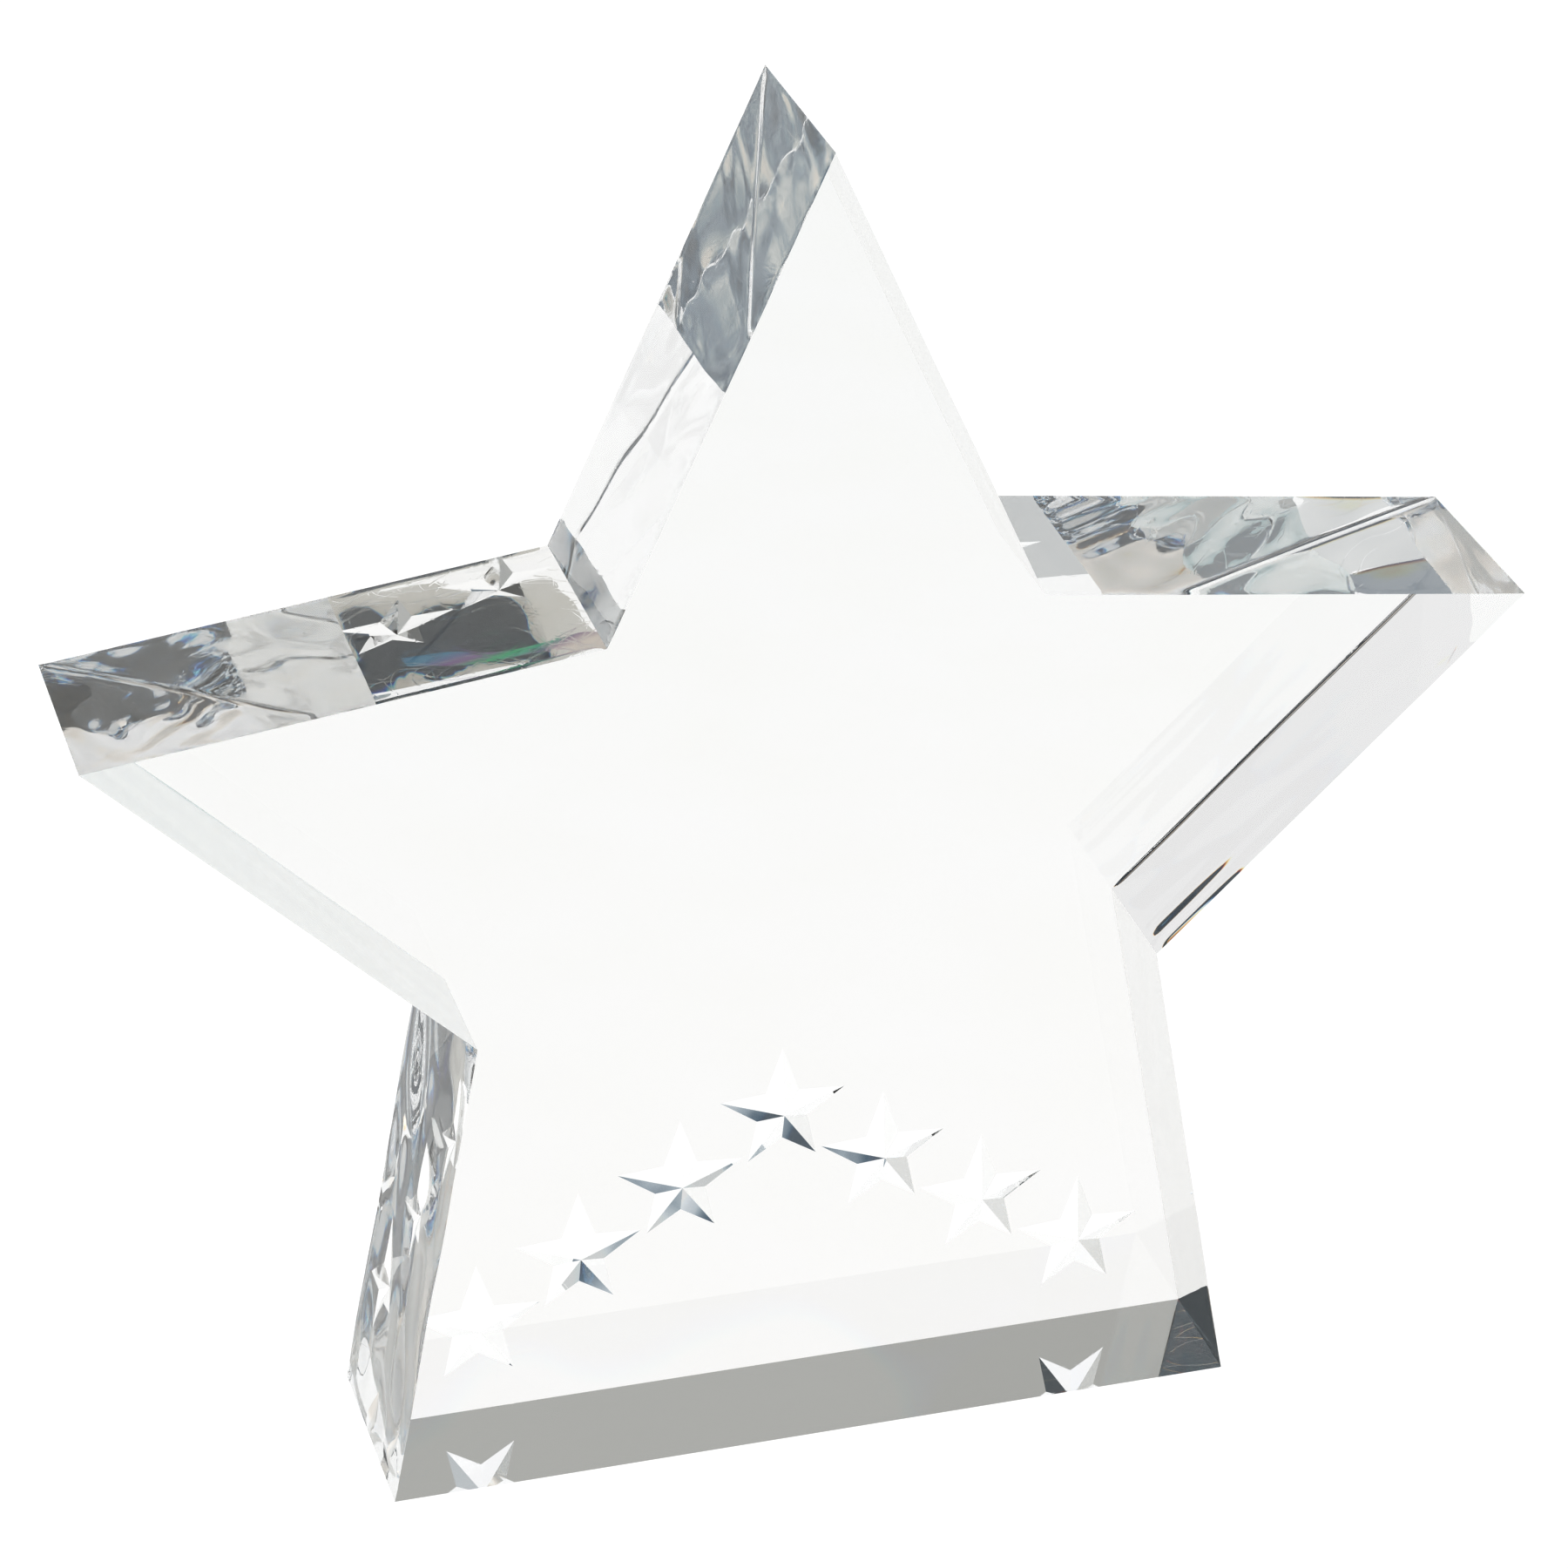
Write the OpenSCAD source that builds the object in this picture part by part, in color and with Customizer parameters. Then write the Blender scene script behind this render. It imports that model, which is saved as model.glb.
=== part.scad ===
// Five-pointed star award, cut from one block of clear acrylic.
// The star stands upright on its flat base and faces -Y. Seven small faceted stars are
// carved into its back in a chevron, so that they are read through the block's thickness.
// Origin: middle of the base, on the surface that the award stands on. +Z is up.

/* [Block] */
// Height from the base to the top point
height = 155.6; // [125:0.1:190]
// Width from side point to side point
width = 158.4; // [125:0.1:195]
// Thickness from front to back
thickness = 25.4; // [15:0.1:40]
// Height of the two side points above the base
side_point_z = 96.3; // [75:0.1:101]
// Width between the two upper notches, where the top point starts
upper_notch_w = 47.8; // [36:0.1:70]
// Height of the two upper notches above the base
upper_notch_z = 103.3; // [98:0.1:115]
// Width between the two lower notches, the waist of the star
lower_notch_w = 77; // [64:0.1:96]
// Height of the two lower notches above the base
lower_notch_z = 57.2; // [46:0.1:70]
// Flat broken on every edge of the front and back faces
arris = 0.3; // [0.1:0.05:1]

/* [Small stars] */
// Stars on each side of the middle star
side_stars = 3; // [1:1:4]
// Width of a small star, arm tip to arm tip
star_w = 14.6; // [10:0.1:18]
// Top point of a small star above its middle
star_top_z = 7.85; // [5:0.05:10]
// Arm tips of a small star above its middle
star_arm_z = 1.8; // [1:0.05:2.1]
// Width of a small star, foot to foot
star_feet_w = 8; // [6.5:0.1:10]
// Feet of a small star below its middle
star_feet_z = 6.45; // [5:0.05:8]
// Width between a small star's upper notches
star_upper_w = 3.9; // [3:0.1:5]
// Upper notches of a small star above its middle
star_upper_z = 2.2; // [2:0.05:3]
// Width between a small star's waist notches
star_waist_w = 5.9; // [4.5:0.1:7]
// Waist notches of a small star below its middle
star_waist_z = 1.3; // [0.5:0.05:2]
// Notch between the feet of a small star, below its middle
star_crotch_z = 3.85; // [2.5:0.05:4.5]
// Depth of a small star at its deepest point
star_depth = 1.6; // [0.6:0.05:4]
// Deepest point of a small star, below its middle
star_deep_z = 0.45; // [0:0.05:1]

/* [Chevron] */
// Gap between one star's foot and the next star's arm tip, across and upwards
star_gap = 0.64; // [0.2:0.02:2]
// Lowest star's feet above the base
chevron_lift = 5.15; // [2:0.05:12]
// From the outermost arm tip to the corner of the base
foot_margin = 5.9; // [4:0.1:15]

/* [Hidden] */
CLEAR = [0.93, 0.96, 0.97, 0.4];
// The carving tool runs this far past the back face
over = 1;
// Each star of the chevron steps out and down, so that its arm tip nests at the last star's foot
step_x = star_feet_w / 2 + star_gap + star_w / 2;
step_z = star_feet_z + star_arm_z - star_gap;
chevron_z = chevron_lift + star_feet_z + side_stars * step_z;
// The base is as wide as the chevron that stands over it, and a margin
base_w = 2 * (side_stars * step_x + star_w / 2 + foot_margin);

// The right half of an outline and its mirror image, anticlockwise seen from the front
function both_halves(right) = concat(
    right,
    [for (i = [len(right) - 1:-1:0]) if (right[i][0] > 0) [-right[i][0], right[i][1]]]
);

block_outline = both_halves([
    [base_w / 2, 0],
    [lower_notch_w / 2, lower_notch_z],
    [width / 2, side_point_z],
    [upper_notch_w / 2, upper_notch_z],
    [0, height]
]);

star_outline = both_halves([
    [0, -star_crotch_z],
    [star_feet_w / 2, -star_feet_z],
    [star_waist_w / 2, -star_waist_z],
    [star_w / 2, star_arm_z],
    [star_upper_w / 2, star_upper_z],
    [0, star_top_z]
]);

// Unit normal of the edge from a to b, towards the inside of an anticlockwise outline
function inward(a, b) = [a[1] - b[1], b[0] - a[0]] / norm(b - a);

// The outline moved inwards by d, with mitred corners
function inset(outline, d) = [
    for (i = [0:len(outline) - 1])
        let (
            here = outline[i],
            n1 = inward(outline[(i + len(outline) - 1) % len(outline)], here),
            n2 = inward(here, outline[(i + 1) % len(outline)])
        )
        here + (n1 + n2) * d / (1 + n1 * n2)
];

// A flat outline stood up in the plane at depth y
function upright(outline, y) = [for (p = outline) [p[0], y, p[1]]];

// The star-shaped block, with its front and back edges broken. The corners run from the right
// foot round the top to the left foot, so each face is the legs, the body and three points.
module blank() {
    n = len(block_outline);
    rings = concat(
        upright(inset(block_outline, arris), -thickness / 2),
        upright(block_outline, arris - thickness / 2),
        upright(block_outline, thickness / 2 - arris),
        upright(inset(block_outline, arris), thickness / 2)
    );
    flats = [[0, 1, 7, 8], [1, 3, 5, 7], [1, 2, 3], [3, 4, 5], [5, 6, 7]];
    front = [for (flat = flats) [for (j = [len(flat) - 1:-1:0]) flat[j]]];
    walls = [
        for (r = [0:2], i = [0:n - 1])
            [r * n + i, r * n + (i + 1) % n, (r + 1) * n + (i + 1) % n, (r + 1) * n + i]
    ];
    back = [for (flat = flats) [for (i = flat) 3 * n + i]];
    polyhedron(points = rings, faces = concat(front, walls, back));
}

// The pointed cutter that carves one small star: ten facets that meet at its deepest point
module star_cutter() {
    n = len(star_outline);
    deep = [0, -star_deep_z];
    grow = (star_depth + over) / star_depth;
    mouth = [for (p = star_outline) deep + (p - deep) * grow];
    mouth_y = thickness / 2 + over;
    points = concat(
        upright(mouth, mouth_y),
        upright([deep], thickness / 2 - star_depth),
        upright([deep], mouth_y)
    );
    facets = [for (i = [0:n - 1]) [i, n, (i + 1) % n]];
    lid = [for (i = [0:n - 1]) [i, (i + 1) % n, n + 1]];
    polyhedron(points = points, faces = concat(facets, lid));
}

module star_block() {
    color(CLEAR) difference() {
        blank();
        for (k = [-side_stars:side_stars])
            translate([k * step_x, 0, chevron_z - abs(k) * step_z]) star_cutter();
    }
}

star_block();
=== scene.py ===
"""Looks of the clear acrylic star award.

The award is one block of cast acrylic sawn to a five-pointed star with a flat
base. Its edges are polished, which leaves them a little wavy and rolls them
over where they meet the faces, and a chevron of small faceted stars is carved
into its back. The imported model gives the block's overall box; the other sizes
are named values here, in millimetres, as in the part's own source.
"""

import logging
import math
from collections.abc import Callable
from dataclasses import dataclass, field
from enum import Enum, IntEnum

import bmesh
import bpy
import numpy as np
from mathutils import Euler, Matrix, Vector


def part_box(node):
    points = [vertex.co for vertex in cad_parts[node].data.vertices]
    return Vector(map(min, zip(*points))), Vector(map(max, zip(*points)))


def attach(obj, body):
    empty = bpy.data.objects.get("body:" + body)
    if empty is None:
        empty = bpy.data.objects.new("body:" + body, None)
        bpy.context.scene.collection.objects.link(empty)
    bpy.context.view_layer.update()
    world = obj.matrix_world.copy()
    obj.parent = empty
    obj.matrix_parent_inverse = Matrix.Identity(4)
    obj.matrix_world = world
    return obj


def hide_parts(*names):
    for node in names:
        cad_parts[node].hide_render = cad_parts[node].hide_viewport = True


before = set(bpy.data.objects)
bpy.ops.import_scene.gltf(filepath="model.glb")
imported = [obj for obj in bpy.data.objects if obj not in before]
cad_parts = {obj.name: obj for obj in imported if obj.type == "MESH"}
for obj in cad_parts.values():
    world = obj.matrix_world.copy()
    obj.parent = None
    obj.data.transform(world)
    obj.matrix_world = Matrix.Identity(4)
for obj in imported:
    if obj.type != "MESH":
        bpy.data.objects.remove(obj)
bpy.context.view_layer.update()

MM = 0.001
LOG = logging.getLogger("star_award")
Colour = tuple[float, float, float, float]
Painter = Callable[[bpy.types.NodeTree], bpy.types.NodeSocket]


# --------------------------------------------------------------------------
# Small helpers
# --------------------------------------------------------------------------

def linear(hex_colour: str) -> Colour:
    """Turns an sRGB hex colour into linear RGBA.

    Args:
        hex_colour: Six hex digits, such as "F4F6F7".

    Returns:
        Red, green, blue and a full alpha, by the sRGB curve: c / 12.92 below
        0.04045, and ((c + 0.055) / 1.055) ** 2.4 above it.
    """
    parts = [int(hex_colour[i:i + 2], 16) / 255 for i in (0, 2, 4)]
    curved = [c / 12.92 if c <= 0.04045 else ((c + 0.055) / 1.055) ** 2.4 for c in parts]
    return (*curved, 1.0)


def add_node(tree: bpy.types.NodeTree, kind: str, settings: dict | None = None,
             links: dict | None = None, values: dict | None = None) -> bpy.types.Node:
    """Adds one shader node, with its settings, its links and its values.

    Args:
        tree: The node tree to add to.
        kind: The node's Blender type name.
        settings: Attributes of the node itself, such as its operation.
        links: Input name or number to the output socket that feeds it.
        values: Input name or number to its constant.

    Returns:
        The new node.
    """
    node = tree.nodes.new(kind)
    for name, value in (settings or {}).items():
        setattr(node, name, value)
    for name, value in (values or {}).items():
        node.inputs[name].default_value = value
    for name, socket in (links or {}).items():
        tree.links.new(socket, node.inputs[name])
    return node


def add_ramp(tree: bpy.types.NodeTree, driver: bpy.types.NodeSocket,
             stops: tuple[tuple[float, str], ...]) -> bpy.types.NodeSocket:
    """Adds a colour ramp with any number of stops.

    Args:
        tree: The node tree to add to.
        driver: The socket that the ramp reads.
        stops: Places from 0 to 1 in rising order, each with its sRGB hex colour.

    Returns:
        The ramp's colour output.
    """
    node = add_node(tree, "ShaderNodeValToRGB", links={0: driver})
    elements = node.color_ramp.elements
    while len(elements) < len(stops):
        elements.new(0.5)
    for element, (place, hex_colour) in zip(elements, stops):
        element.position = place
        element.color = linear(hex_colour)
    return node.outputs["Color"]


def add_split_ramp(tree: bpy.types.NodeTree, driver: bpy.types.NodeSocket,
                   stops: tuple[tuple[float, str], ...], split: float) -> bpy.types.NodeSocket:
    """Adds a colour ramp whose red and blue lie a little to either side of its green.

    Where the ramp is even it keeps its colour, and where it steps it gets a warm
    edge on one side and a cool edge on the other, as light split by a prism has.

    Args:
        tree: The node tree to add to.
        driver: The socket that the ramp reads.
        stops: Places from 0 to 1 in rising order, each with its sRGB hex colour.
        split: How far red and blue are moved along the ramp, each its own way.

    Returns:
        The combined colour.
    """
    joined = add_node(tree, "ShaderNodeCombineColor")
    for channel, shift in (("Red", -split), ("Green", 0.0), ("Blue", split)):
        moved = add_node(tree, "ShaderNodeMath", links={0: driver}, values={1: shift})
        parts = add_node(tree, "ShaderNodeSeparateColor",
                         links={0: add_ramp(tree, moved.outputs[0], stops)})
        tree.links.new(parts.outputs[channel], joined.inputs[channel])
    return joined.outputs[0]


def smoothstep(value: np.ndarray) -> np.ndarray:
    """Eases 0 to 1 with level ends: 3 v^2 - 2 v^3, clamped outside.

    Args:
        value: Any array.

    Returns:
        The eased array.
    """
    held = np.clip(value, 0.0, 1.0)
    return held * held * (3.0 - 2.0 * held)


# --------------------------------------------------------------------------
# Finishes
# --------------------------------------------------------------------------

@dataclass(frozen=True)
class CastAcrylic:
    """Clear cast acrylic (PMMA), sawn from sheet, its faces as cast, its edges polished.

    Water-clear with a mirror polish, so its edges work as mirrors from inside.
    The body colour is the little that a surface loses of what passes through
    it. A clarity below one leaves part of the surface milky, as on an edge that
    was only buffed. Light that has gone a long way in the block comes out
    faintly blue-green. Handling and wiping leave hairlines, which show only
    where something dark is seen in the block. Real ones are a tenth as wide:
    they are drawn coarse enough to show.
    """

    name: str
    body: str
    hairline_strength: float
    clarity: float = 1.0
    ior: float = 1.491
    tint: str = "ECF3F4"
    tint_density: float = 0.5
    hairline_mm: float = 0.12
    hairline_depth_mm: float = 0.02
    hairline_spacing_mm: float = 9.0
    hairline_bend: float = 0.03
    bend_mm: float = 50.0 / 3

    def material(self) -> bpy.types.Material:
        """Makes the acrylic: one clear dielectric, hairlines and a faint body tint.

        Returns:
            The material.
        """
        made = bpy.data.materials.new(self.name)
        made.use_nodes = True
        tree = made.node_tree
        tree.nodes.clear()
        place = add_node(tree, "ShaderNodeTexCoord")
        marks = {}
        if self.hairline_strength > 0:
            marks["Normal"] = self.hairlines(tree, place.outputs["Object"])
        body = add_node(
            tree, "ShaderNodeBsdfPrincipled", links=marks,
            values={"Base Color": linear(self.body), "Roughness": 0.0, "IOR": self.ior,
                    "Transmission Weight": self.clarity},
        )
        depth = add_node(tree, "ShaderNodeVolumeAbsorption",
                         values={"Color": linear(self.tint), "Density": self.tint_density})
        add_node(tree, "ShaderNodeOutputMaterial",
                 links={"Surface": body.outputs["BSDF"], "Volume": depth.outputs["Volume"]})
        return made

    def hairlines(self, tree: bpy.types.NodeTree,
                  place: bpy.types.NodeSocket) -> bpy.types.NodeSocket:
        """Adds fine scratches: the borders of large, bent, stretched cells.

        Args:
            tree: The material's node tree.
            place: Object coordinates.

        Returns:
            The scratched normal.
        """
        bend = add_node(tree, "ShaderNodeTexNoise", links={"Vector": place},
                        values={"Scale": 1.0 / (self.bend_mm * MM), "Detail": 1.0})
        bent = add_node(tree, "ShaderNodeMix", {"data_type": "VECTOR"},
                        links={4: place, 5: bend.outputs["Color"]},
                        values={0: self.hairline_bend})
        turned = add_node(tree, "ShaderNodeMapping", links={"Vector": bent.outputs[1]},
                          values={"Rotation": (0.4, 0.9, 0.3), "Scale": (1.0, 1.6, 0.35)})
        cells = add_node(tree, "ShaderNodeTexVoronoi", {"feature": "DISTANCE_TO_EDGE"},
                         links={"Vector": turned.outputs["Vector"]},
                         values={"Scale": 1.0 / (self.hairline_spacing_mm * MM)})
        line = add_node(tree, "ShaderNodeMapRange", links={"Value": cells.outputs["Distance"]},
                        values={"From Max": self.hairline_mm / self.hairline_spacing_mm})
        bump = add_node(tree, "ShaderNodeBump", links={"Height": line.outputs["Result"]},
                        values={"Strength": self.hairline_strength,
                                "Distance": self.hairline_depth_mm * MM})
        return bump.outputs["Normal"]


def glowing(name: str, tree_colour: Painter, shade: str = "000000",
            strength: float = 1.0) -> bpy.types.Material:
    """Makes a matt stage surface that glows of itself, as a light table does.

    Args:
        name: The material's name.
        tree_colour: Called with the node tree, gives the glow's colour socket.
        shade: The surface's own colour, which takes light and soft shadows.
        strength: The glow's strength.

    Returns:
        The material.
    """
    made = bpy.data.materials.new(name)
    made.use_nodes = True
    tree = made.node_tree
    tree.nodes.clear()
    body = add_node(tree, "ShaderNodeBsdfPrincipled",
                    links={"Emission Color": tree_colour(tree)},
                    values={"Base Color": linear(shade), "Roughness": 0.9,
                            "Specular IOR Level": 0.0, "Emission Strength": strength})
    add_node(tree, "ShaderNodeOutputMaterial", links={"Surface": body.outputs["BSDF"]})
    return made


@dataclass(frozen=True)
class LightTable:
    """Opal acrylic sheet lit from below, the plain pale floor: even, with no shine."""

    cloud: tuple[tuple[float, str], ...] = ((0.3, "FEFEFD"), (0.7, "FFFFFF"))
    cloud_mm: float = 25.0
    shade: str = "303030"
    strength: float = 1.06

    def material(self) -> bpy.types.Material:
        """Makes the table, with opal sheet's faint cloudiness."""
        return glowing("opal_light_table", self.colour, self.shade, self.strength)

    def colour(self, tree: bpy.types.NodeTree) -> bpy.types.NodeSocket:
        """Gives the cloudy white.

        Args:
            tree: The material's node tree.

        Returns:
            The colour's socket.
        """
        place = add_node(tree, "ShaderNodeTexCoord")
        cloud = add_node(tree, "ShaderNodeTexNoise", links={"Vector": place.outputs["Object"]},
                         values={"Scale": 1.0 / (self.cloud_mm * MM), "Detail": 2.0})
        return add_ramp(tree, cloud.outputs["Fac"], self.cloud)


@dataclass(frozen=True)
class PaintedShadeCard:
    """A self-lit card under the table's window, for the block's edges to mirror.

    It is painted shade and painted light: its dark greys stand in for the shade
    under the block, its pale greys for light that comes down through the block, and
    warm and cool painted fringes lie where the greys step. Its colour follows a
    stretched cloud pattern, through a ramp of greys. A card
    with "bare" set follows the ramp from its middle outwards, and the pattern
    only tears its edges. Sizes and places are in millimetres on the card's level.
    """

    name: str
    low: tuple[float, float]
    high: tuple[float, float]
    stops: tuple[tuple[float, str], ...]
    shade_cloud_mm: float = 9.0
    turn: float = 0.6
    split: float = 0.012
    bare: bool = False
    tear: float = 0.9
    spread: float = 0.6

    def material(self) -> bpy.types.Material:
        """Makes the card's matt, self-lit surface, which glows with its painted shade and light.
        """
        return glowing(self.name, self.colour)

    def colour(self, tree: bpy.types.NodeTree) -> bpy.types.NodeSocket:
        """Gives the painted shade and light in a cloud pattern, or the even middle with torn
        edges.

        The even card's ramp runs with the larger of the two distances from its
        middle, as shares of its half size, to which the cloud pattern is added.

        Args:
            tree: The material's node tree.

        Returns:
            The colour's socket.
        """
        place = add_node(tree, "ShaderNodeTexCoord")
        turned = add_node(tree, "ShaderNodeMapping", links={"Vector": place.outputs["Object"]},
                          values={"Rotation": (0.0, 0.0, self.turn), "Scale": (1.0, 0.35, 1.0)})
        # This cloud pattern lays out the painted shade and painted light.
        shade_cloud = add_node(tree, "ShaderNodeTexNoise", links={"Vector": turned.outputs["Vector"]},
                          values={"Scale": 1.0 / (self.shade_cloud_mm * MM), "Detail": 3.0,
                                  "Distortion": 0.6})
        if not self.bare:
            return add_split_ramp(tree, shade_cloud.outputs["Fac"], self.stops, self.split)
        low, high = Vector(self.low) * MM, Vector(self.high) * MM
        middle, half = (low + high) / 2, (high - low) / 2
        centred = add_node(tree, "ShaderNodeMapping", links={"Vector": place.outputs["Object"]},
                           values={"Location": (-middle.x / half.x, -middle.y / half.y, 0.0),
                                   "Scale": (1.0 / half.x, 1.0 / half.y, 0.0)})
        folded = add_node(tree, "ShaderNodeVectorMath", {"operation": "ABSOLUTE"},
                          links={0: centred.outputs["Vector"]})
        axes = add_node(tree, "ShaderNodeSeparateXYZ", links={0: folded.outputs[0]})
        outward = add_node(tree, "ShaderNodeMath", {"operation": "MAXIMUM"},
                           links={0: axes.outputs["X"], 1: axes.outputs["Y"]})
        torn = add_node(tree, "ShaderNodeMath", {"operation": "MULTIPLY_ADD"},
                        links={0: shade_cloud.outputs["Fac"], 2: outward.outputs[0]},
                        values={1: self.tear})
        scaled = add_node(tree, "ShaderNodeMath", {"operation": "MULTIPLY"},
                          links={0: torn.outputs[0]}, values={1: self.spread})
        return add_split_ramp(tree, scaled.outputs[0], self.stops, self.split)


@dataclass(frozen=True)
class SpectrumStrip:
    """A narrow band of split light beside a card: blue, violet, green, sand."""

    low: tuple[float, float] = (19.0, -119.5)
    high: tuple[float, float] = (52.0, -115.0)
    stops: tuple[tuple[float, str], ...] = (
        (0.0, "2F6480"), (0.25, "3C7C96"), (0.42, "7C5C88"), (0.58, "2FA36C"), (0.72, "3C9C80"),
        (0.86, "8C7890"), (1.0, "CFC6BC"))
    lean: float = 0.25
    name: str = "spectrum_strip"

    def material(self) -> bpy.types.Material:
        """Makes the band."""
        return glowing(self.name, self.colour)

    def colour(self, tree: bpy.types.NodeTree) -> bpy.types.NodeSocket:
        """Gives the colours in order along the band, leaning across it.

        Args:
            tree: The material's node tree.

        Returns:
            The colour's socket.
        """
        place = add_node(tree, "ShaderNodeTexCoord")
        low, size = Vector(self.low) * MM, (Vector(self.high) - Vector(self.low)) * MM
        share = add_node(tree, "ShaderNodeMapping", links={"Vector": place.outputs["Object"]},
                         values={"Location": (-low.x / size.x, -low.y / size.y, 0.0),
                                 "Scale": (1.0 / size.x, 1.0 / size.y, 0.0)})
        axes = add_node(tree, "ShaderNodeSeparateXYZ", links={0: share.outputs["Vector"]})
        leaned = add_node(tree, "ShaderNodeMath", {"operation": "MULTIPLY_ADD"},
                          links={0: axes.outputs["Y"], 2: axes.outputs["X"]},
                          values={1: self.lean})
        return add_ramp(tree, leaned.outputs[0], self.stops)


# --------------------------------------------------------------------------
# The award
# --------------------------------------------------------------------------

class Polish(Enum):
    """How a sawn edge was polished: ripple height, and roll-over at front and back, in mm."""

    FLAT = (0.0, 0.0, 0.0)
    CALM = (0.004, 0.02, 0.02)
    RIPPLED = (0.010, 0.03, 0.03)
    WAVY = (0.08, 0.03, 0.03)
    HEAVY = (0.014, 0.01, 0.12)

    @property
    def ripple(self) -> float:
        """Height of the ripples."""
        return self.value[0]

    @property
    def rolls(self) -> tuple[float, float]:
        """How far the edge is rolled back where it meets the front, and the back."""
        return self.value[1:]


@dataclass
class Outline:
    """The star's outline, anticlockwise seen from the front, one polish an edge."""

    height: float
    width: float
    side_point_z: float = 96.3
    upper_notch_w: float = 47.8
    upper_notch_z: float = 103.3
    lower_notch_w: float = 77.0
    lower_notch_z: float = 57.2
    base_w: float = 98.04
    spacing: float = 0.6
    polish: tuple[Polish, ...] = (
        Polish.RIPPLED, Polish.HEAVY, Polish.CALM, Polish.RIPPLED, Polish.RIPPLED,
        Polish.CALM, Polish.RIPPLED, Polish.WAVY, Polish.FLAT)

    def corners(self) -> np.ndarray:
        """Gives the nine corners: the right half, then its mirror image.

        Returns:
            The corners as (x, z), from the right foot round the top to the left foot.
        """
        right = np.array([
            (self.base_w / 2, 0.0), (self.lower_notch_w / 2, self.lower_notch_z),
            (self.width / 2, self.side_point_z), (self.upper_notch_w / 2, self.upper_notch_z),
            (0.0, self.height)])
        left = right[-2::-1] * (-1.0, 1.0)
        return np.concatenate([right, left])

    def walk(self) -> dict[str, np.ndarray]:
        """Walks round the outline in even steps.

        Each edge is divided evenly. A point on an edge moves inwards along the
        edge's normal, and a corner along the sum of its two edges' normals over
        one plus their dot product, which keeps both edges' insets equal.

        Returns:
            Arrays over the points: "place" (x, z), "inward" (x, z), "along" the
            distance from the edge's start, "to_corner" the distance to the
            nearer corner, and "edge" the edge's number.
        """
        corners = self.corners()
        ahead = np.roll(corners, -1, axis=0)
        length = np.linalg.norm(ahead - corners, axis=1)
        steps = np.maximum(np.rint(length / self.spacing).astype(int), 2)
        edge = np.repeat(np.arange(len(corners)), steps)
        first = np.repeat(np.cumsum(steps) - steps, steps)
        share = (np.arange(len(edge)) - first) / steps[edge]
        unit = (ahead - corners) / length[:, None]
        normal = np.stack([-unit[:, 1], unit[:, 0]], axis=1)
        before = np.roll(normal, 1, axis=0)
        mitre = (before + normal) / (1.0 + (before * normal).sum(axis=1))[:, None]
        inward = np.where((share == 0)[:, None], mitre[edge], normal[edge])
        return {
            "place": corners[edge] + (ahead - corners)[edge] * share[:, None],
            "inward": inward, "along": share * length[edge],
            "to_corner": np.minimum(share, 1.0 - share) * length[edge], "edge": edge,
        }


@dataclass
class SmallStar:
    """A carved star: a ten-sided pyramid sunk into the back, its point deepest."""

    width: float = 14.6
    top_z: float = 7.85
    arm_z: float = 1.8
    feet_w: float = 8.0
    feet_z: float = 6.45
    upper_w: float = 3.9
    upper_z: float = 2.2
    waist_w: float = 5.9
    waist_z: float = 1.3
    crotch_z: float = 3.85
    depth: float = 1.6
    deep_z: float = 0.45

    def mouth(self) -> np.ndarray:
        """Gives the ten corners of the star's mouth, from its crotch round to the right.

        Returns:
            The corners about the star's middle, as (x, z).
        """
        right = np.array([
            (0.0, -self.crotch_z), (self.feet_w / 2, -self.feet_z),
            (self.waist_w / 2, -self.waist_z), (self.width / 2, self.arm_z),
            (self.upper_w / 2, self.upper_z), (0.0, self.top_z)])
        return np.concatenate([right, right[-2:0:-1] * (-1.0, 1.0)])


@dataclass
class Chevron:
    """The row of small stars, rising to the middle one and falling again."""

    star: SmallStar = field(default_factory=SmallStar)
    side_stars: int = 3
    gap: float = 0.64
    lift: float = 5.15

    def centres(self) -> np.ndarray:
        """Gives the stars' middles, each step out matched by a step down.

        Returns:
            The middles as (x, z), from left to right.
        """
        step_x = self.star.feet_w / 2 + self.gap + self.star.width / 2
        step_z = self.star.feet_z + self.star.arm_z - self.gap
        top = self.lift + self.star.feet_z + self.side_stars * step_z
        count = np.arange(-self.side_stars, self.side_stars + 1)
        return np.stack([count * step_x, top - np.abs(count) * step_z], axis=1)

    def pockets(self, back_y: float, first: int) -> tuple[np.ndarray, np.ndarray]:
        """Builds every pocket's mouth ring, its deepest point and its facets.

        Args:
            back_y: Place of the back face.
            first: Number of the first new vertex in the whole mesh.

        Returns:
            The vertices (x, y, z), and the triangles between each pair of mouth
            corners and the deepest point.
        """
        mouth = self.star.mouth()
        centres = self.centres()
        sides = len(mouth)
        ring = centres[:, None, :] + mouth[None, :, :]
        ring = np.stack([ring[..., 0], np.full(ring.shape[:2], back_y), ring[..., 1]], axis=2)
        deep = np.stack([centres[:, 0], np.full(len(centres), back_y - self.star.depth),
                         centres[:, 1] - self.star.deep_z], axis=1)
        points = np.concatenate([ring, deep[:, None, :]], axis=1).reshape(-1, 3)
        turn = np.arange(sides)
        facets = np.stack([turn, (turn + 1) % sides, np.full(sides, sides)], axis=1)
        start = first + np.arange(len(centres)) * (sides + 1)
        return points, (start[:, None, None] + facets[None]).reshape(-1, 3)


class Slot(IntEnum):
    """The block's material slots, in their order on the mesh."""

    FRONT = 0
    EDGE = 1
    CARVED = 2
    BACK = 3
    SATIN = 4


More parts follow.
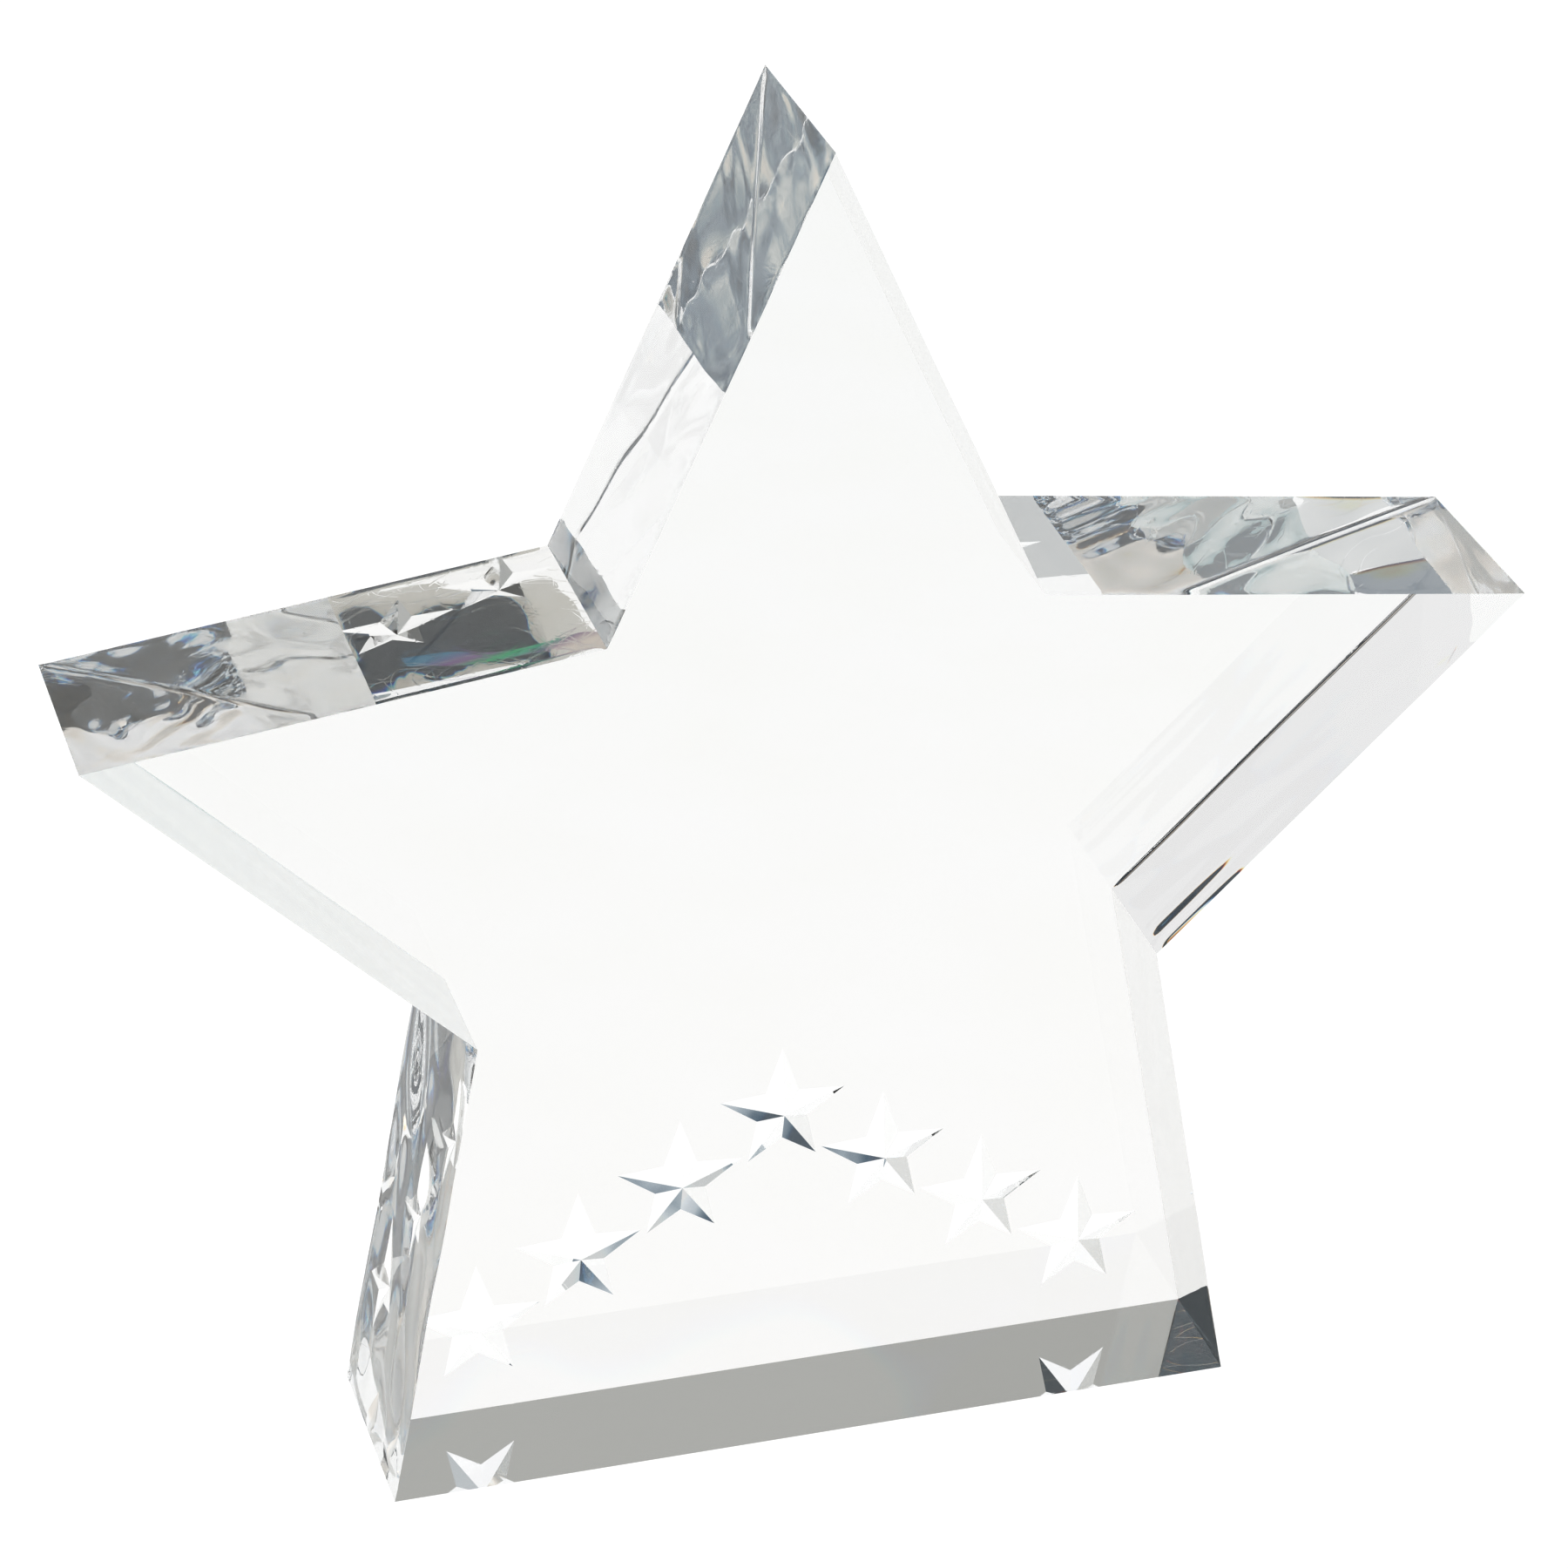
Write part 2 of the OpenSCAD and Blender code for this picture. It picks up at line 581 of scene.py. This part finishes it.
@dataclass
class StarBlock:
    """The whole award: one polished block with its carved chevron.

    Lengths are in millimetres. The satin edges are the right leg, the right side
    of the top point and the underside of the left arm. The furrowed edge is the
    underside of the right arm.
    """

    outline: Outline
    thickness: float
    chevron: Chevron = field(default_factory=Chevron)
    front: CastAcrylic = CastAcrylic("cast_acrylic_front", "FFFFFF", 0.01)
    back: CastAcrylic = CastAcrylic("cast_acrylic_back", "EBEAE9", 0.01)
    edge: CastAcrylic = CastAcrylic("cast_acrylic_polished_edge", "F3F3F3", 0.02)
    satin: CastAcrylic = CastAcrylic("cast_acrylic_satin_edge", "E0E0DD", 0.02, clarity=0.78)
    carved: CastAcrylic = CastAcrylic("cast_acrylic_carved", "FFFFFF", 0.0)
    satin_edges: tuple[int, ...] = (0, 3, 6)
    rows: int = 44
    row_draw: float = 0.4
    roll_width: float = 1.0
    corner_calm: float = 2.0
    ripple_count: int = 12
    ripple_along: tuple[float, float] = (12.0, 40.0)
    ripple_across: tuple[float, float] = (7.0, 30.0)
    ripple_seed: int = 7
    furrow_edge: int = 1
    furrow_depth: float = 0.08
    furrow_pitch: float = 5.5
    furrow_reach: tuple[float, float] = (14.0, 8.0)
    sharp_degrees: float = 12.0

    def depth_rows(self) -> np.ndarray:
        """Places the rows across the thickness, closest together at the two faces.

        A row's place is an even step from -1 to 1 mixed with its own sine, which
        puts the rows closer together at the ends, where the rolled edge is.

        Returns:
            The rows' distances from the middle of the thickness.
        """
        even = np.linspace(-1.0, 1.0, self.rows)
        drawn = (1.0 - self.row_draw) * even + self.row_draw * np.sin(even * math.pi / 2)
        return drawn / drawn[-1] * self.thickness / 2

    def ripples(self, along: np.ndarray, across: np.ndarray, edge: np.ndarray) -> np.ndarray:
        """Gives the polished surface's ripples, with a unit standard height.

        It is a sum of sine waves, each with its own length along the edge and
        across the thickness, and a phase of its own on each edge. Longer waves
        are higher in proportion, so every wave has about the same slope.

        Args:
            along: Distance along the edge.
            across: Distance across the thickness, of the same shape.
            edge: The edge's number, of the same shape.

        Returns:
            The height at each point.
        """
        draw = np.random.default_rng(self.ripple_seed)
        count = self.ripple_count
        length_s = draw.uniform(*self.ripple_along, count)
        length_y = draw.uniform(*self.ripple_across, count) * draw.choice((-1.0, 1.0), count)
        phase = draw.uniform(0.0, 2.0 * math.pi, (count, len(self.outline.polish)))
        turn_s = (2.0 * math.pi / length_s)[:, None, None]
        turn_y = (2.0 * math.pi / length_y)[:, None, None]
        height = (length_s / length_s.mean())[:, None, None]
        waves = height * np.sin(turn_s * along + turn_y * across + phase[:, edge])
        return waves.sum(axis=0) / math.sqrt(count / 2)

    def furrows(self, along: np.ndarray, across: np.ndarray, edge: np.ndarray) -> np.ndarray:
        """Gives the lengthwise furrows left where the polisher turned at a notch.

        They are a sine across the thickness. They are deepest at the start of
        their edge and at the front face, and die away from there along the edge
        and towards the back as exp(-distance^2).

        Args:
            along: Distance along the edge.
            across: Distance across the thickness from its middle.
            edge: The edge's number.

        Returns:
            The furrows' depth at each point.
        """
        from_front = across + self.thickness / 2
        lengthways, crossways = self.furrow_reach
        fade = np.exp(-(along / lengthways) ** 2 - (from_front / crossways) ** 2)
        turn = 2.0 * math.pi / self.furrow_pitch
        return (edge == self.furrow_edge) * self.furrow_depth * fade * np.sin(turn * from_front)

    def walls(self) -> tuple[np.ndarray, np.ndarray, np.ndarray, int]:
        """Builds the polished edge all round, as a grid of outline by thickness.

        A point of the grid is the outline's point, moved inwards by the ripples,
        the furrows, and the roll-over, which grows as the square of the nearness
        to a face. All three fade to nothing at the outline's corners.

        Returns:
            The vertices as (x, y, z), the quads, each quad's edge number, and
            the number of rows.
        """
        walk = self.outline.walk()
        rows = self.depth_rows()
        along, across = np.meshgrid(walk["along"], rows, indexing="ij")
        edge = np.repeat(walk["edge"][:, None], len(rows), axis=1)
        height = np.array([polish.ripple for polish in self.outline.polish])[edge]
        rolls = np.array([polish.rolls for polish in self.outline.polish])
        rolled = rolls[edge, (across > 0).astype(int)]
        fade = smoothstep(walk["to_corner"] / self.corner_calm)[:, None]
        near_face = np.clip(1.0 - (self.thickness / 2 - np.abs(across)) / self.roll_width, 0, 1)
        polished = height * self.ripples(along, across, edge) + rolled * near_face ** 2
        inset = fade * (polished + self.furrows(along, across, edge))
        x = walk["place"][:, 0, None] + inset * walk["inward"][:, 0, None]
        z = walk["place"][:, 1, None] + inset * walk["inward"][:, 1, None]
        number = np.arange(x.size).reshape(x.shape)
        onward = np.roll(number, -1, axis=0)
        quads = np.stack([number[:, :-1], onward[:, :-1], onward[:, 1:], number[:, 1:]], axis=2)
        points = np.stack([x, across, z], axis=2).reshape(-1, 3)
        return points, quads.reshape(-1, 4), edge[:, :-1].ravel(), len(rows)

    def mesh(self) -> bpy.types.Mesh:
        """Builds the closed block.

        The walls and pockets come from their grids and the front is one flat
        face. The back face is the flat fill between the outer ring and the
        mouths of the pockets, which are the mesh's only open edges by then.

        Returns:
            The mesh, in metres, its normals outwards.
        """
        wall_points, quads, quad_edge, rows = self.walls()
        pocket_points, facets = self.chevron.pockets(self.thickness / 2, len(wall_points))
        points = np.concatenate([wall_points, pocket_points]) * MM
        front = np.arange(0, len(wall_points), rows)[::-1]
        made = bpy.data.meshes.new("star_block_polished")
        made.from_pydata(points, [], [front.tolist(), *quads.tolist(), *facets.tolist()])
        work = bmesh.new()
        work.from_mesh(made)
        open_edges = [edge for edge in work.edges if edge.is_boundary]
        bmesh.ops.triangle_fill(work, edges=open_edges, use_beauty=True, normal=(0, 1, 0))
        bmesh.ops.recalc_face_normals(work, faces=work.faces)
        still_open = sum(not edge.is_manifold for edge in work.edges)
        LOG.info("block: %d faces, %d open edges, %.1f cm3", len(work.faces), still_open,
                 work.calc_volume() / (10 * MM) ** 3)
        work.to_mesh(made)
        work.free()
        filled = len(made.polygons) - 1 - len(quads) - len(facets)
        order = np.array([Slot.FRONT, Slot.EDGE, Slot.CARVED, Slot.BACK], dtype=np.int32)
        slots = np.repeat(order, (1, len(quads), len(facets), filled))
        slots[1:1 + len(quads)][np.isin(quad_edge, self.satin_edges)] = Slot.SATIN
        made.polygons.foreach_set("material_index", slots)
        made.polygons.foreach_set("use_smooth", np.ones(len(made.polygons), dtype=bool))
        made.set_sharp_from_angle(angle=math.radians(self.sharp_degrees))
        return made

    def build(self) -> bpy.types.Object:
        """Makes the block, dresses it and stands it in for the CAD solid.

        Returns:
            The finished piece.
        """
        made = self.mesh()
        finishes = {Slot.FRONT: self.front, Slot.EDGE: self.edge, Slot.CARVED: self.carved,
                    Slot.BACK: self.back, Slot.SATIN: self.satin}
        for slot in Slot:
            made.materials.append(finishes[slot].material())
        piece = bpy.data.objects.new("star_block_polished", made)
        bpy.context.scene.collection.objects.link(piece)
        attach(piece, "root")
        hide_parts("star_block")
        return piece


# --------------------------------------------------------------------------
# The studio
# --------------------------------------------------------------------------

@dataclass(frozen=True)
class Sky:
    """What stands round the award, for the clear block to mirror and bend.

    "behind" is what is seen past the award's back, by the height of the
    direction, from 0 at the horizon to 1 overhead: a thin grey band low down,
    bright walls, and a greyer ceiling. "facing" is what is seen from its back
    towards the front: a cluttered dark room under paler light, brighter on the
    right where its window is. Its ramp runs with a cloud pattern, lowered by the
    height of the direction. "sides" darkens the far left, and "flag" is a dark
    board that leans over behind the award, by the height of the direction less
    half of its way to the right.
    """

    behind: tuple[tuple[float, str], ...] = (
        (0.0, "90969B"), (0.05, "A4A8AB"), (0.07, "FAFBFC"), (0.2, "FFFFFF"), (0.45, "FAFBFC"),
        (0.49, "DCDDDB"), (0.55, "C0C1BE"), (0.62, "BEBFBC"), (0.68, "D4D6D6"), (1.0, "D8DADA"))
    facing: tuple[tuple[float, str], ...] = (
        (0.0, "1E272D"), (0.45, "262F35"), (0.46, "4C78A0"), (0.475, "D4D6D6"), (1.0, "F6F6F4"))
    facing_scale: float = 12.0
    facing_drop: float = 0.30
    facing_lift: float = 0.10
    facing_turn: float = 0.25
    window_edges: tuple[float, float] = (0.5, 0.65)
    window_lift: float = 0.6
    sides: tuple[tuple[float, str], ...] = (
        (0.0, "FFFFFF"), (0.585, "FFFFFF"), (0.61, "56606A"), (1.0, "56606A"))
    flag: tuple[tuple[float, str], ...] = (
        (0.0, "FFFFFF"), (0.650, "FFFFFF"), (0.656, "4E585F"), (0.72, "4E585F"), (0.74, "FFFFFF"))
    split: float = 0.008
    flag_split: float = 0.008 / 3
    flag_lean: float = -0.5

    def build(self) -> None:
        """Makes the world: behind under the flag, blended into facing, then the sides."""
        world = bpy.data.worlds.new("soft_studio")
        bpy.context.scene.world = world
        world.use_nodes = True
        tree = world.node_tree
        tree.nodes.clear()
        way = add_node(tree, "ShaderNodeTexCoord")
        axes = add_node(tree, "ShaderNodeSeparateXYZ", links={0: way.outputs["Generated"]})
        behind = add_split_ramp(tree, axes.outputs["Z"], self.behind, self.split)
        clutter = add_node(tree, "ShaderNodeTexNoise", links={0: way.outputs["Generated"]},
                           values={"Scale": self.facing_scale, "Detail": 1.5})
        lowered = add_node(tree, "ShaderNodeMath", {"operation": "MULTIPLY_ADD"},
                           links={0: axes.outputs["Z"], 2: clutter.outputs["Fac"]},
                           values={1: -self.facing_drop})
        window = add_node(tree, "ShaderNodeMapRange", links={"Value": axes.outputs["X"]},
                          values={"From Min": self.window_edges[0],
                                  "From Max": self.window_edges[1],
                                  "To Min": self.facing_lift, "To Max": self.window_lift})
        raised = add_node(tree, "ShaderNodeMath",
                          links={0: lowered.outputs[0], 1: window.outputs["Result"]})
        facing = add_split_ramp(tree, raised.outputs[0], self.facing, self.split)
        half = add_node(tree, "ShaderNodeMapRange", links={"Value": axes.outputs["Y"]},
                        values={"From Min": -self.facing_turn, "From Max": self.facing_turn})
        leaned = add_node(tree, "ShaderNodeMath", {"operation": "MULTIPLY_ADD"},
                          links={0: axes.outputs["X"], 2: axes.outputs["Z"]},
                          values={1: self.flag_lean})
        flag = add_split_ramp(tree, leaned.outputs[0], self.flag, self.flag_split)
        flagged = self.multiply(tree, behind, flag)
        blend = add_node(tree, "ShaderNodeMix", {"data_type": "RGBA"},
                         links={0: half.outputs["Result"], 6: facing, 7: flagged})
        aside = add_node(tree, "ShaderNodeMath", {"operation": "MULTIPLY"},
                         links={0: axes.outputs["X"]}, values={1: -1.0})
        sides = add_split_ramp(tree, aside.outputs[0], self.sides, self.split)
        dimmed = self.multiply(tree, blend.outputs[2], sides)
        glow = add_node(tree, "ShaderNodeBackground", links={"Color": dimmed})
        add_node(tree, "ShaderNodeOutputWorld", links={"Surface": glow.outputs["Background"]})

    @staticmethod
    def multiply(tree: bpy.types.NodeTree, first: bpy.types.NodeSocket,
                 second: bpy.types.NodeSocket) -> bpy.types.NodeSocket:
        """Multiplies two colours and returns the product's socket."""
        node = add_node(tree, "ShaderNodeMix", {"data_type": "RGBA", "blend_type": "MULTIPLY"},
                        links={6: first, 7: second}, values={0: 1.0})
        return node.outputs[2]


@dataclass(frozen=True)
class KeyLight:
    """A long, narrow softbox hung overhead, in line with the award's thickness.

    It is split into three lamps side by side, warm, white and cool. Together
    they are white on the floor, and where the block shades one of them before
    the others its light comes through with a warm or a cool edge.
    """

    height: float = 2.4
    width: float = 0.32
    length: float = 4.0
    radiance: float = 6.0
    colours: tuple[str, str, str] = ("FFD9A8", "FFFFFF", "A8D2FF")

    def build(self) -> None:
        """Hangs the three lamps."""
        lane = self.width / len(self.colours)
        for number, hex_colour in enumerate(self.colours):
            lamp = bpy.data.lights.new(f"key_{number}", "AREA")
            lamp.shape = "RECTANGLE"
            lamp.size = lane
            lamp.size_y = self.length
            lamp.energy = self.radiance * math.pi * lane * self.length
            lamp.color = linear(hex_colour)[:3]
            hung = bpy.data.objects.new(f"key_{number}", lamp)
            hung.location = (lane * (number - 1), 0.0, self.height)
            bpy.context.scene.collection.objects.link(hung)


@dataclass
class Studio:
    """The floor, the light, the sky and the camera.

    The floor has a window as large as the award's base, and the cards lie below
    it, so only what is seen down through the block shows them. The cards glow
    with painted shade and painted light, which stand in for the shade under the
    block and the light that comes down through it. The window and
    the cards are in millimetres, the other sizes in metres.
    """

    sky: Sky = field(default_factory=Sky)
    key: KeyLight = field(default_factory=KeyLight)
    table: LightTable = field(default_factory=LightTable)
    # The cards glow with painted shade and painted light: dark greys for the shade under the
    # block, pale greys for light that comes down through it.
    cards: tuple[PaintedShadeCard | SpectrumStrip, ...] = (
        PaintedShadeCard("painted_shade_card", (6.0, -143.0), (50.0, -109.0), bare=True, split=0.005,
             stops=((0.0, "363F45"), (0.64, "363F45"), (0.643, "8A949C"), (0.652, "B4AEA2"),
                    (0.74, "C8C6BE"), (1.0, "D4D4D0"))),
        PaintedShadeCard("painted_shade_front_card", (-42.0, -146.0), (5.0, -94.0),
             stops=((0.0, "1E282E"), (0.40, "434E56"), (0.50, "7C868E"), (0.57, "B4B4AE"),
                    (0.63, "DCD6CC"))),
        PaintedShadeCard("painted_shade_back_card", (-42.0, 92.0), (16.0, 154.0), turn=-0.5,
             stops=((0.0, "2A343A"), (0.40, "4C5860"), (0.50, "8C949A"), (0.56, "C0BEB8"),
                    (0.62, "E6E0D6"))),
        PaintedShadeCard("painted_shade_middle_card", (-58.0, -48.0), (-14.0, -6.0), shade_cloud_mm=14.0,
             stops=((0.0, "2A343A"), (0.44, "5C6872"), (0.56, "A8AEB2"), (0.70, "E8E8E8"))),
        PaintedShadeCard("painted_shade_side_card", (40.0, -14.0), (80.0, 14.0), shade_cloud_mm=14.0,
             stops=((0.0, "3A464E"), (0.44, "8A949A"), (0.60, "D8DADA"))),
        PaintedShadeCard("painted_light_card", (60.0, -126.0), (82.0, -84.0), shade_cloud_mm=20.0,
             stops=((0.0, "B8BCBE"), (1.0, "E4E4E2"))),
        SpectrumStrip(),
    )
    cards_below: float = 0.06
    lower_half: float = 0.6
    window: tuple[float, float] = (48.95, 12.65)
    floor_side: float = 20.0
    floor_gap: float = 0.0002
    aim: tuple[float, float, float] = (-0.0009, 0.0, 0.0775)
    azimuth: float = -16.57
    elevation: float = 28.49
    roll: float = 0.62
    distance: float = 0.5714
    lens: float = 120.64
    sensor: float = 36.0
    gamma: float = 0.8

    def lay(self, name: str, points: np.ndarray, faces: list[tuple[int, ...]], drop: float,
            material: bpy.types.Material) -> None:
        """Lays one flat part of the stage, facing up.

        Args:
            name: The part's name.
            points: Its corners as (x, y), in metres.
            faces: Its faces, as corner numbers anticlockwise from above.
            drop: How far it lies below the award's base.
            material: What it is made of.
        """
        flat = bpy.data.meshes.new(name)
        level = np.full((len(points), 1), -drop)
        flat.from_pydata(np.concatenate([points, level], axis=1), [], faces)
        flat.materials.append(material)
        laid = bpy.data.objects.new(name, flat)
        bpy.context.scene.collection.objects.link(laid)

    def floor(self) -> None:
        """Lays the table with its window under the award, and the cards of painted shade and
        painted light below it.
        """
        turn = np.array([(-1, -1), (1, -1), (1, 1), (-1, 1)])
        rim = np.concatenate([turn * self.floor_side / 2, turn * np.array(self.window) * MM])
        sides = [(i, (i + 1) % 4, (i + 1) % 4 + 4, i + 4) for i in range(4)]
        table = self.table.material()
        self.lay("floor", rim, sides, self.floor_gap, table)
        self.lay("lower_table", turn * self.lower_half, [(0, 1, 2, 3)], self.cards_below, table)
        for number, card in enumerate(self.cards, start=1):
            middle = (np.array(card.high) + np.array(card.low)) / 2 * MM
            half = (np.array(card.high) - np.array(card.low)) / 2 * MM
            self.lay(card.name, middle + turn * half, [(0, 1, 2, 3)],
                     self.cards_below - number * self.floor_gap, card.material())

    def camera(self) -> None:
        """Stands the camera on its circle round the aim point and looks at it."""
        lens = bpy.data.cameras.new("camera")
        lens.lens = self.lens
        lens.sensor_width = self.sensor
        seen = bpy.data.objects.new("camera", lens)
        turn = Euler((math.radians(90.0 - self.elevation), 0.0, math.radians(self.azimuth)))
        facing = turn.to_matrix().to_4x4()
        out = facing @ Vector((0.0, 0.0, self.distance))
        lean = Matrix.Rotation(math.radians(self.roll), 4, "Z")
        seen.matrix_world = Matrix.Translation(Vector(self.aim) + out) @ facing @ lean
        bpy.context.scene.collection.objects.link(seen)
        bpy.context.scene.camera = seen

    def look(self) -> None:
        """Sets the picture's tone, and lets light bounce often enough to leave the block."""
        scene = bpy.context.scene
        scene.view_settings.view_transform = "Standard"
        scene.view_settings.gamma = self.gamma
        cycles = scene.cycles
        cycles.max_bounces = 32
        cycles.transmission_bounces = 32
        cycles.glossy_bounces = 16
        cycles.diffuse_bounces = 3
        cycles.blur_glossy = 0.0
        cycles.sample_clamp_indirect = 4.0
        cycles.caustics_reflective = True
        cycles.caustics_refractive = True
        cycles.use_denoising = True

    def build(self) -> None:
        """Builds the studio, and reports its parts."""
        self.floor()
        LOG.info("floor laid")
        self.sky.build()
        self.key.build()
        LOG.info("light hung")
        self.camera()
        self.look()
        LOG.info("camera set")


def main() -> None:
    """Builds the award from its CAD box, then the studio."""
    low, high = (np.array(corner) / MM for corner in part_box("star_block"))
    width, thickness, height = high - low
    block = StarBlock(Outline(height=height, width=width), thickness)
    piece = block.build()
    LOG.info("%s built", piece.name)
    Studio().build()


if __name__ == "__main__":
    logging.basicConfig(level=logging.INFO, format="%(name)s: %(message)s")
    main()
